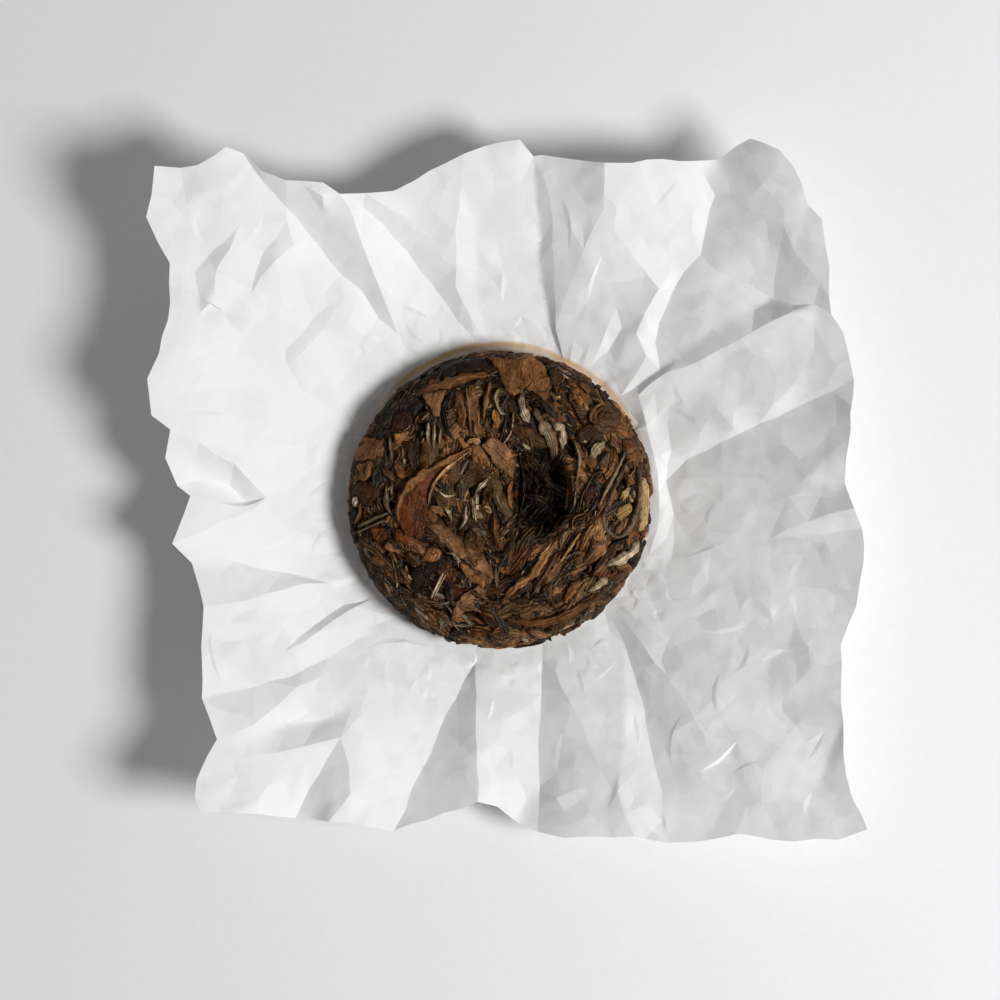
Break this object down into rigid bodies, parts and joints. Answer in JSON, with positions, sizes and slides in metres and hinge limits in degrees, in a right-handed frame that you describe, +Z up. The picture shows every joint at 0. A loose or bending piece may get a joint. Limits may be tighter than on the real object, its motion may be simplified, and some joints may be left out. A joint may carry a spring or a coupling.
{
  "type": "pressed tea cake",
  "caption": "Round cake of pressed tea leaves, back side up with a central dimple, lying on its own opened and crumpled white paper wrapper",
  "frame": {"origin": "on the underside of the wrapper, where it lies flat, on the cake's axis", "axes": "+Z up, out of the dimple; +X to the right and +Y away from the viewer, along the wrapper's sides"},
  "size_m": [0.255, 0.251, 0.0412],
  "materials": {
    "pressed_tea": "matte",
    "paper": "matte"
  },
  "bodies": {
    "root": {"tea_cake": "pressed_tea", "wrapper": "paper"}
  },
  "joints": []
}
